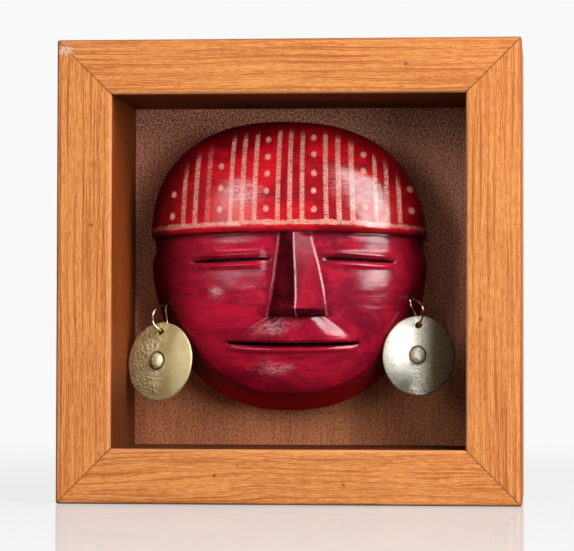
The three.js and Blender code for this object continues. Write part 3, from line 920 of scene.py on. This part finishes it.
def hollowShadeAt(u, v):
    if v > mask["ledge"] + 0.6:
        return 0.0

    # painted shade near one carved line
    def shadeBy(name, distance):
        share, offset, reach = hollowShade[name]
        return share * bell(distance - offset, reach)

    eye, lip, lids = v - eyes["line"], v - mouth["line"], math.sqrt(eyeOpen(u))
    return max(
        shadeBy("ledge", v - mask["ledge"]),
        shadeBy("fold", eye) * lids,
        shadeBy("underLid", eye) * lids,
        shadeBy("eyeCorner", math.hypot(abs(u) - eyes["inner"], eye * 0.7)),
        shadeBy("cheek", abs(u) - noseHalfAt(v)) if v > nose["base"] else 0.0,
        shadeBy("lipEdge", lip) * smoothStep(mouth["half"] + 3, mouth["half"] - 1, abs(u)),
        shadeBy("underLip", lip) * mouthOpen(u * 0.9),
        shadeBy("underNose", v - nose["base"]) * smoothStep(nose["baseHalf"] + 2, nose["baseHalf"] - 1, abs(u)),
    )


# Where the nose's flanks and underside get painted shade
def noseFlankShade(u, v):
    if not nose["base"] < v < mask["ledge"]:
        return 0.0
    share = mix(nose["shadeRight"], nose["shadeLeft"], smoothStep(-0.3, 0.4, -u))
    if v < nose["tip"]:
        share = nose["shadeUnder"]
    return share * smoothStep(0.1, 0.8, noseHalfAt(v) - abs(u))


# Coordinates for the paint, stored with every point of the mask
def paintPoint(vert, layers, u, v):
    rim = rimShare(u, v)
    onNose = nose["base"] < v < mask["ledge"]
    upright = capPaint["upright"] * smoothStep(-10, 20, u)
    x = vert.co.x + upright * mask["capLean"] * max(0.0, v - mask["ledge"])
    x /= 1 - capPaint["gather"] * max(0.0, v - capPaint["line"])
    number = stripeNumber(x)
    whole = round(number)
    strength = 0.0 if whole % 4 == 0 else capPaint["wornStripes"].get(whole, 1.0)
    low, high = capPaint["stripeEnds"]
    strength *= 1 - smoothStep(low - 0.05, high, rim + 0.03 * waver(u / 3, 9))
    line = v - capPaint["line"] + capPaint["lineDroop"] * (u / mask["halfWidth"]) ** 2
    crest = min(abs(u), 3.0) if onNose else 3.0
    foot = min(3.0, abs(abs(u) - noseHalfAt(v))) if onNose and v < mask["ledge"] - 1 else 3.0
    slits = max(eyeSlit(u, v), mouthSlit(u, v)) * (1 - rim ** mask["carvingFade"])
    onCap = smoothStep(mask["ledge"], mask["ledge"] + 0.5, v)
    # share of the painted highlights here
    highlightShare = max(
        share * bell(math.hypot((u - middleU) / reachU, (v - middleV) / reachV), 1)
        for middleU, middleV, reachU, reachV, share in highlightPatches
    )
    vert[layers["form"]] = (highlightShare, v, rim)
    vert[layers["stripes"]] = (number, strength, dotDistance(x, v) if v > mask["ledge"] + 3 else 6.0)
    vert[layers["marks"]] = (line, crest, slits)
    vert[layers["folds"]] = (onCap, foot, noseFlankShade(u, v))
    vert[layers["hollowShading"]] = (hollowShadeAt(u, v), 0, 0)


def shapeMask():
    bm = bmesh.new()
    bmesh.ops.create_grid(bm, x_segments=mask["columns"], y_segments=mask["rows"], size=1)
    names = ("form", "stripes", "marks", "folds", "hollowShading")
    layers = {name: bm.verts.layers.float_vector.new(name) for name in names}
    spacing = rowSpacing()
    heights = {}
    holes = [earFrame(ears["left"]), earFrame(ears["right"])]
    for vert in bm.verts:
        place, share = vert.co.x, (vert.co.y + 1) / 2
        key = round(share, 5)
        if key not in heights:
            after = next((i for i, spot in enumerate(spacing) if spot[0] >= share), len(spacing) - 1)
            heights[key] = spacing[after][1]
        v = heights[key]
        u = columnU(place, v)
        vert.co = maskPoint(u, v)
        paintPoint(vert, layers, u, v)
        for opening, outward in holes:
            aside = vert.co - opening
            if aside.length > 3:
                continue
            depth = aside.dot(outward)
            away = (aside - outward * depth).length
            vert.co -= outward * ears["pitDepth"] * (1 - smoothStep(0.75, 1.1, away / ears["holeRadius"]))
    bmesh.ops.remove_doubles(bm, verts=bm.verts, dist=0.002)
    closeBack(bm)
    bmesh.ops.recalc_face_normals(bm, faces=bm.faces)
    return bm


# Draws the outline back to the panel in rings and closes it behind
def closeBack(bm):
    middle = Vector((mask["middle"][0], 0, mask["middle"][1]))
    rings = mask["sideRings"]
    edges = [edge for edge in bm.edges if edge.is_boundary]
    outline = {}
    for ring in range(1, rings + 1):
        made = bmesh.ops.extrude_edge_only(bm, edges=edges)["geom"]
        fresh = [item for item in made if isinstance(item, bmesh.types.BMVert)]
        share = ring / rings
        for vert in fresh:
            start = vert.co.copy() if ring == 1 else outline[vert.co.to_tuple(5)]
            taper = mix(1, mask["backTaper"], share)
            vert.co = Vector((
                middle.x + (start.x - middle.x) * taper,
                mix(start.y, maskBack, share),
                middle.z + (start.z - middle.z) * taper,
            ))
            outline[vert.co.to_tuple(5)] = start
        edges = [item for item in made if isinstance(item, bmesh.types.BMEdge)]
    back = bmesh.ops.holes_fill(bm, edges=edges)["faces"]
    bmesh.ops.poke(bm, faces=back)


# Colours of the mask's paint and of what has rubbed or soiled it. The nose, outline, left side, hollow and
# slit tones are painted shade, the jaw tone painted light and the scratch tone painted highlights
paintTones = {
    "faceDark": (0.158, 0.0013, 0.015), "faceLight": (0.37, 0.0046, 0.024),
    "capDark": (0.224, 0.0007, 0.0053), "capLight": (0.475, 0.0053, 0.012),
    "streaks": (0.099, 0.0007, 0.0066), "rubbed": (0.396, 0.056, 0.099), "noseFlankShade": (0.03, 0.0003, 0.002),
    "outline": (0.05, 0.0003, 0.0013), "leftShade": (0.05, 0.0005, 0.003), "jawLight": (0.30, 0.0008, 0.002),
    "hollowShade": (0.035, 0.0005, 0.003), "peachDark": (0.475, 0.112, 0.073), "peachLight": (0.607, 0.284, 0.218),
    "crest": (0.561, 0.304, 0.317), "foot": (0.409, 0.172, 0.211), "scratches": (0.581, 0.304, 0.33),
    "slits": (0.0079, 0.0007, 0.0013), "dust": (0.106, 0.092, 0.073),
}


def paintedWood():
    material, tree = startMaterial("crimson paint on carved wood")
    place = objectPlace(tree)
    aside = parts(tree, place)[0]
    highlightShare, v, rim = parts(tree, attribute(tree, "form"))
    line, crest, slits = parts(tree, attribute(tree, "marks"))
    onCap, foot, noseShade = parts(tree, attribute(tree, "folds"))
    hollowShading = parts(tree, attribute(tree, "hollowShading"))[0]
    clouds = cloud(tree, place, (42, 42, 66), 5, 0.65, 0.8)
    small = cloud(tree, place, (160, 160, 230), 4, 0.7)
    streaks = cloud(tree, place, (60, 60, 900), 5, 0.75, turn=(0, 3, 0))
    scratches = cloud(tree, place, (230, 230, 2400), 3, 0.75, turn=(0, -4, 0))
    hatch = cloud(tree, place, (700, 700, 1900), 3, 0.75, turn=(0, 35, 0))
    grit = cloud(tree, place, 1500, 3, 0.75)
    # ground: crimson with darker clouds, brushed across
    clouded = rescale(tree, clouds, 0.36, 0.62)
    face = tint(tree, clouded, paintTones["faceDark"], paintTones["faceLight"])
    cap = tint(tree, clouded, paintTones["capDark"], paintTones["capLight"])
    # thin dusty pink where the paint has rubbed
    rubbed = product(
        tree, rescale(tree, small, 0.50, 0.70), rescale(tree, rim, 0.5, 0.9, 1, 0),
        rescale(tree, onCap, 0, 1, 0.20, 0.05)
    )
    # painted shade, darker towards the outline and on the left, least of all on the jaw, whose bevel gets a
    # painted lighter red
    outline = product(
        tree, rescale(tree, rim, 0.72, 1.0), rescale(tree, onCap, 0, 1, 0.95, 0.82),
        rescale(tree, aside, -0.03, 0.025, 1.0, 0.78), rescale(tree, v, -48, -30, 0.62, 1.0)
    )
    # painted shade down the left side of the face
    leftShade = product(
        tree, rescale(tree, aside, -0.051, -0.033, 0.8, 0), rescale(tree, onCap, 0, 1, 1.0, 0.5)
    )
    # painted light: a clearer red on the jaw's bevel, which faces down
    jawLight = product(tree, rescale(tree, rim, 0.88, 0.96), rescale(tree, v, -46, -34, 0.85, 0))
    colour = layTones(tree, tint(tree, onCap, face, cap), paintTones, (
        ("streaks", rescale(tree, streaks, 0.48, 0.68, 0, 0.6)),
        ("rubbed", rubbed),
        # painted shade on the nose's flanks and underside
        ("noseFlankShade", product(tree, noseShade, rescale(tree, small, 0.35, 0.65, 0.97, 0.75))),
        ("outline", outline),
        ("leftShade", leftShade),
        ("jawLight", jawLight),
        # painted shade in the hollows round the eyes, mouth and nose and under the cap's ledge
        ("hollowShade", product(tree, hollowShading, rescale(tree, small, 0.35, 0.62, 1.0, 0.45))),
    ))
    peach = peachPaint(tree, v, rim, line, small, hatch, grit)
    gritty = rescale(tree, grit, 0.25, 0.60)
    peachTone = tint(tree, gritty, paintTones["peachDark"], paintTones["peachLight"])
    colour = tint(tree, peach, colour, peachTone)
    # worn crest and feet of the nose, painted highlights of fine pale scratches, painted shade and dust in
    # the slits
    crestEdge = rescale(tree, roughen(tree, crest, small, 0.9), 0.16, 0.42, 1, 0)
    footWear = product(tree, rescale(tree, foot, 0.12, 0.5, 1, 0), rescale(tree, grit, 0.45, 0.6, 0, 0.4))
    scored = calc(tree, "MAXIMUM", rescale(tree, scratches, 0.46, 0.60), rescale(tree, hatch, 0.48, 0.60))
    patchy = rescale(tree, calc(tree, "ADD", highlightShare, small), 0.65, 1.15)
    colour = layTones(tree, colour, paintTones, (
        ("crest", product(tree, crestEdge, rescale(tree, small, 0.35, 0.5, 0.3, 1), 0.65)),
        ("foot", footWear),
        # painted highlights: pale scratches in the listed patches
        ("scratches", product(tree, scored, patchy, highlightShare)),
        # painted shade: the slits are painted near-black
        ("slits", rescale(tree, slits, 0.10, 0.40)),
        ("dust", rescale(tree, product(tree, slits, grit), 0.34, 0.6, 0, 0.5)),
    ))
    height = calc(tree, "ADD", product(tree, streaks, 0.7), product(tree, scratches, 0.5))
    height = calc(tree, "MULTIPLY_ADD", peach, 0.35, height)
    relief = bump(tree, height, 0.06, bump(tree, grit, 0.010))
    # the lacquer is dull in the slits, at the outline, on the nose and on the left
    sheen = product(
        tree, rescale(tree, small, 0.36, 0.60, 1.0, 0.6), rescale(tree, slits, 0.0, 0.3, 1, 0),
        rescale(tree, rim, 0.78, 1.0, 1.0, 0.15), rescale(tree, noseShade, 0.0, 0.7, 1.0, 0.12),
        rescale(tree, aside, -0.022, 0.004, 0.40, 1.0), rescale(tree, onCap, 0, 1, 0.74, 1.0)
    )
    surface(tree, {
        "Base Color": colour,
        "Roughness": 0.5,
        "Specular IOR Level": 0.06,
        "Normal": relief,
        "Coat Weight": sheen,
        "Coat IOR": 1.75,
        "Coat Roughness": rescale(tree, streaks, 0.35, 0.65, 0.08, 0.17),
        "Coat Normal": relief,
    })
    return material


# How much of the cap's peach paint shows: stripes, dots and the line along the edge, brushed on thinly
def peachPaint(tree, v, rim, line, small, hatch, grit):
    number, strength, dots = parts(tree, attribute(tree, "stripes"))
    offset = calc(tree, "ABSOLUTE", calc(tree, "SUBTRACT", number, calc(tree, "ROUND", number)))
    worn = rescale(tree, strength, 0.2, 1.0, 0.30, 0.04)
    broken = rescale(tree, calc(tree, "ADD", hatch, worn), 0.52, 0.68)
    stripe = product(
        tree, rescale(tree, roughen(tree, offset, grit, 0.20), 0.15, 0.225, 1, 0),
        calc(tree, "MULTIPLY_ADD", broken, -0.85, 1), rescale(tree, strength, 0.0, 0.7),
        rescale(tree, v, 13.5, 14.5)
    )
    blob = rescale(tree, roughen(tree, dots, grit, 1.6), 0.75, 1.25, 1, 0)
    edgeWidth = roughen(tree, calc(tree, "ABSOLUTE", line), small, 2.4)
    edgeLine = product(
        tree, rescale(tree, edgeWidth, 0.45, 0.95, 1, 0), rescale(tree, hatch, 0.48, 0.68, 1, 0.2),
        rescale(tree, rim, 0.62, 0.98, 1, 0.3)
    )
    peach = calc(tree, "MAXIMUM", calc(tree, "MAXIMUM", stripe, blob), edgeLine)
    return product(tree, peach, rescale(tree, small, 0.35, 0.6, 1.0, 0.72))


def addMask():
    bm = shapeMask()
    print("mask carved:", sum(len(face.verts) - 2 for face in bm.faces), "triangles")
    addPiece("carvedMask", bm, paintedWood(), "mask")


# Ear discs: thin domed castings with a button in the middle and a hanging hole
discs = {
    "radius": 14.15, "thickness": 0.9, "dome": 2.1, "lip": 0.3,
    "bossRadius": 2.95, "bossRise": 1.35, "grooveWidth": 0.55, "grooveDepth": 0.5,
    "holeRadius": 1.2, "holeHeight": 10.6, "holeSides": 40, "rodLength": 8,
    "rings": 60, "backRings": 16, "bossRings": 12, "lipRings": 6, "quarterSteps": 80,
    "pitSizes": (0.9, 0.42), "pits": {"left": 0.17, "right": 0.11}, "edgeWaver": 0.10,
    "left": {
        "side": -1, "place": (-48.1, 2.4, 48.9), "turn": 25, "lean": 8, "narrowing": 0.945,
        "node": "ear_disc_left",
    },
    "right": {
        "side": 1, "place": (43.7, -2.4, 51.2), "turn": -5, "lean": 4, "narrowing": 0.912,
        "node": "ear_disc_right",
    },
}


def discAxes(disc):
    aside, back, side = math.radians(disc["turn"]), math.radians(disc["lean"]), disc["side"]
    level = Vector((side * math.sin(aside), -math.cos(aside), 0))
    outward = level * math.cos(back) + Vector((0, 0, math.sin(back)))
    right = Vector((math.cos(aside), side * math.sin(aside), 0))
    return right, outward.cross(right), outward


def domeAt(radius):
    return discs["dome"] * (1 - (radius / discs["radius"]) ** 2)


# Half section from the middle of the back, round the lip to the top of the button
def discSection():
    edge = discs["radius"] - discs["lip"]
    thick = discs["thickness"]
    boss, groove = discs["bossRadius"], discs["bossRadius"] + discs["grooveWidth"]
    section = []
    for i in range(discs["backRings"] + 1):
        radius = edge * i / discs["backRings"]
        section.append((radius, domeAt(radius)))
    for i in range(1, discs["lipRings"]):
        angle = math.pi * (i / discs["lipRings"] - 0.5)
        section.append((edge + discs["lip"] * math.cos(angle), thick / 2 + (thick / 2) * math.sin(angle)))
    for i in range(discs["rings"] + 1):
        radius = mix(edge, groove, i / discs["rings"])
        section.append((radius, domeAt(radius) + thick))
    foot = domeAt(groove) + thick - discs["grooveDepth"]
    section.append((mix(groove, boss, 0.4), foot))
    section.append((mix(groove, boss, 0.8), foot))
    top = domeAt(0) + thick + discs["bossRise"]
    for i in range(discs["bossRings"] + 1):
        angle = math.pi / 2 * i / discs["bossRings"]
        section.append((boss * math.cos(angle), foot + (top - foot) * math.sin(angle) ** 0.8))
    return section


def shapeDisc(name):
    disc = discs[name]
    bm = bmesh.new()
    points = [bm.verts.new((radius, 0, height)) for radius, height in discSection()]
    for first, second in zip(points, points[1:]):
        bm.edges.new((first, second))
    bmesh.ops.spin(
        bm, geom=bm.verts[:] + bm.edges[:], cent=(0, 0, 0), axis=(0, 0, 1),
        angle=math.tau / 4, steps=discs["quarterSteps"]
    )
    quarter = bm.verts[:] + bm.edges[:] + bm.faces[:]
    for turn in (1, 2, 3):
        copied = bmesh.ops.duplicate(bm, geom=quarter)["geom"]
        moved = [item for item in copied if isinstance(item, bmesh.types.BMVert)]
        matrix = Matrix.Rotation(turn * math.tau / 4, 3, "Z")
        bmesh.ops.rotate(bm, verts=moved, cent=(0, 0, 0), matrix=matrix)
    bmesh.ops.remove_doubles(bm, verts=bm.verts, dist=0.004)
    bmesh.ops.recalc_face_normals(bm, faces=bm.faces)
    casting = bm.verts.layers.float_vector.new("casting")  # across, painted shade in the groove, roughness
    seed = disc["side"] * 11
    broad, fine = discs["pitSizes"]
    for vert in bm.verts:
        radius = math.hypot(vert.co.x, vert.co.y)
        cast = waver(vert.co.x / broad, vert.co.y / broad, seed)
        cast += 0.6 * waver(vert.co.x / fine, vert.co.y / fine, seed)
        across = vert.co.x / discs["radius"]
        outwards = disc["side"] * across + 0.25 * waver(vert.co.y / 5, seed)
        pitted = mix(0.05, 1, smoothStep(-0.25, 0.15, outwards))
        groove = bell(radius - discs["bossRadius"] - 0.1, 0.35)
        vert[casting] = (across, groove if vert.co.z > 0 else 0, pitted)
        patch = pitted * (0.65 + 0.35 * waver(vert.co.x / 6, vert.co.y / 6, seed))
        onFront = smoothStep(discs["bossRadius"], discs["bossRadius"] + 1, radius)
        vert.co.z += discs["pits"][name] * cast * patch * mix(0.35, 1, onFront)
        if radius > 0.01:
            around = waver(3 * vert.co.x / radius, 3 * vert.co.y / radius, seed)
            shrink = 1 - discs["edgeWaver"] / discs["radius"] * (1 + around) * smoothStep(8, 14, radius)
            vert.co.x *= shrink
            vert.co.y *= shrink
    bmesh.ops.scale(bm, vec=(disc["narrowing"], 1, 1), verts=bm.verts)
    return bm


# Cuts the hanging hole with a rod of the hole's size
def drillDisc(bm):
    bmesh.ops.scale(bm, vec=(mm, mm, mm), verts=bm.verts)
    whole = bpy.data.meshes.new("disc")
    bm.to_mesh(whole)
    bm.free()
    rodShape = bmesh.new()
    radius = discs["holeRadius"] * mm
    bmesh.ops.create_cone(
        rodShape, cap_ends=True, segments=discs["holeSides"], radius1=radius, radius2=radius,
        depth=discs["rodLength"] * mm
    )
    bmesh.ops.translate(rodShape, vec=(0, discs["holeHeight"] * mm, 0), verts=rodShape.verts)
    rodMesh = bpy.data.meshes.new("rod")
    rodShape.to_mesh(rodMesh)
    rodShape.free()
    body, rod = bpy.data.objects.new("disc", whole), bpy.data.objects.new("rod", rodMesh)
    for item in (body, rod):
        bpy.context.scene.collection.objects.link(item)
    cut = body.modifiers.new("hole", "BOOLEAN")
    cut.operation, cut.object, cut.solver = "DIFFERENCE", rod, "EXACT"
    evaluated = body.evaluated_get(bpy.context.evaluated_depsgraph_get())
    drilled = bmesh.new()
    drilled.from_mesh(evaluated.to_mesh())
    for item in (body, rod):
        bpy.data.objects.remove(item)
    bmesh.ops.scale(drilled, vec=(1 / mm, 1 / mm, 1 / mm), verts=drilled.verts)
    return drilled


def brass(name, finish):
    material, tree = startMaterial(name)
    place = objectPlace(tree)
    across, groove, rough = parts(tree, attribute(tree, "casting"))
    cast = cloud(tree, place, 900, 4, 0.65)
    tone = cloud(tree, place, 170, 4, 0.6)
    brushed = cloud(tree, stretch(tree, place, (1700, 1700, 130), (0, 12, 0)), 1, 3, 0.7)
    colour = tint(tree, rescale(tree, tone, 0.35, 0.68), finish["dark"], finish["pale"])
    colour = tint(tree, rescale(tree, cast, 0.56, 0.72, 0, 0.5), colour, finish["tarnishAndShade"])
    # painted shade over one side of the disc
    sideShade = product(tree, rescale(tree, across, -0.1, 0.5), finish["shadedSide"])
    colour = tint(tree, sideShade, colour, finish["tarnishAndShade"])
    # painted shade in the groove round the button
    colour = tint(tree, product(tree, groove, 0.85), colour, brassFinish["grooveShade"])
    surface(tree, {
        "Base Color": colour,
        "Metallic": finish["metal"],
        "Roughness": rescale(tree, tone, 0.3, 0.7, *finish["roughness"]),
        "Normal": bump(tree, brushed, 0.02, bump(tree, product(tree, cast, rough), finish["castDepth"])),
    })
    return material


# the tarnish colour is also laid over one side of each disc as painted shade
brassFinish = {
    "grooveShade": (0.07, 0.045, 0.02),
    "left": {
        "dark": (0.55, 0.45, 0.21), "pale": (0.68, 0.60, 0.34), "tarnishAndShade": (0.34, 0.26, 0.11),
        "roughness": (0.48, 0.58), "castDepth": 1.1, "metal": 0.75, "shadedSide": 0.35,
    },
    "right": {
        "dark": (0.97, 0.93, 0.74), "pale": (1.0, 0.98, 0.86), "tarnishAndShade": (0.13, 0.088, 0.032),
        "roughness": (0.34, 0.40), "castDepth": 1.0, "metal": 1.0, "shadedSide": 0.95,
    },
    "wires": {
        "dark": (0.62, 0.48, 0.26), "pale": (0.84, 0.72, 0.46), "tarnishAndShade": (0.40, 0.26, 0.14),
        "roughness": (0.22, 0.32), "castDepth": 0.01, "metal": 1.0, "shadedSide": 0.0,
    },
}


def addDiscs():
    for name in ("left", "right"):
        disc = discs[name]
        metal = brass("cast brass " + name, brassFinish[name])
        bm = drillDisc(shapeDisc(name))
        right, up, outward = discAxes(disc)
        turn = Matrix((right, up, outward)).transposed()
        bmesh.ops.transform(bm, matrix=Matrix.Translation(disc["place"]) @ turn.to_4x4(), verts=bm.verts)
        print("disc cast:", name, sum(len(face.verts) - 2 for face in bm.faces), "triangles")
        addPiece(name + "EarDisc", bm, metal, disc["node"])


# Ear wires: stiff bows with both ends in the ear hole, passing through the disc's hole
wires = {
    "radius": 0.4, "sides": 16, "steps": 12,
    "legGap": 0.55, "tail": 3, "stub": 0.6,
    "rearOut": 0.9, "rearDrop": 1.6, "rearFoot": 0.1,
    "bow": (  # outward, up and aside from the disc's hole
        (3.4, 6.6, 1.6), (3.1, 3.2, 1.9), (1.5, 0.9, 0.7), (0, 0.35, 0), (-1.5, 0.9, -0.5), (-1.9, 3.4, -1),
    ),
    "nodes": {"left": "ear_wire_left", "right": "ear_wire_right"},
}


def wireRoute(name):
    opening, earOutward = earFrame(ears[name])
    sideways = earOutward.cross(Vector((0, 0, 1))).normalized()
    legUp = sideways.cross(earOutward).normalized()
    disc = discs[name]
    right, up, outward = discAxes(disc)
    hole = Vector(disc["place"]) + up * discs["holeHeight"]
    middle = domeAt(discs["holeHeight"]) + discs["thickness"] / 2

    def fromEar(out, rise):
        return opening + earOutward * out + legUp * rise

    def fromHole(out, rise, aside):
        return hole + outward * (out + middle) + up * rise + right * (aside * disc["side"])

    gap, tail = wires["legGap"], wires["tail"]
    return [
        fromEar(-tail, gap), fromEar(-tail / 2, gap), fromEar(wires["stub"], gap),
        *[fromHole(*point) for point in wires["bow"]],
        fromEar(wires["rearOut"], -gap - wires["rearDrop"]), fromEar(wires["rearFoot"], -gap),
        fromEar(-tail, -gap),
    ]


# A smooth curve through the route's points
def smoothRoute(points):
    spots = []
    for i in range(len(points) - 1):
        before = points[max(0, i - 1)]
        after = points[min(len(points) - 1, i + 2)]
        start, end = points[i], points[i + 1]
        reach = (end - start).length / 3
        startAim = (end - before).normalized() * reach
        endAim = (after - start).normalized() * reach
        spots += geometry.interpolate_bezier(start, start + startAim, end - endAim, end, wires["steps"])[:-1]
    return spots + [points[-1]]


def shapeWire(name):
    curve = bpy.data.curves.new("wire", "CURVE")
    curve.dimensions = "3D"
    curve.bevel_depth = wires["radius"]
    curve.bevel_resolution = wires["sides"] // 4
    curve.use_fill_caps = True
    spots = smoothRoute(wireRoute(name))
    line = curve.splines.new("POLY")
    line.points.add(len(spots) - 1)
    for point, spot in zip(line.points, spots):
        point.co = (*spot, 1)
    holder = bpy.data.objects.new("wire", curve)
    bpy.context.scene.collection.objects.link(holder)
    evaluated = holder.evaluated_get(bpy.context.evaluated_depsgraph_get())
    bm = bmesh.new()
    bm.from_mesh(evaluated.to_mesh())
    bpy.data.objects.remove(holder)
    bmesh.ops.remove_doubles(bm, verts=bm.verts, dist=0.01)
    bmesh.ops.recalc_face_normals(bm, faces=bm.faces)
    return bm


def addWires():
    metal = brass("brass wire", brassFinish["wires"])
    for name, node in wires["nodes"].items():
        addPiece(name + "EarWire", shapeWire(name), metal, node)
        print("wire bent:", name)


addCamera()
addLights()
addStage()
print("camera, lights and stage ready")
addBoards()
addBackBoard()
addMask()
addDiscs()
addWires()
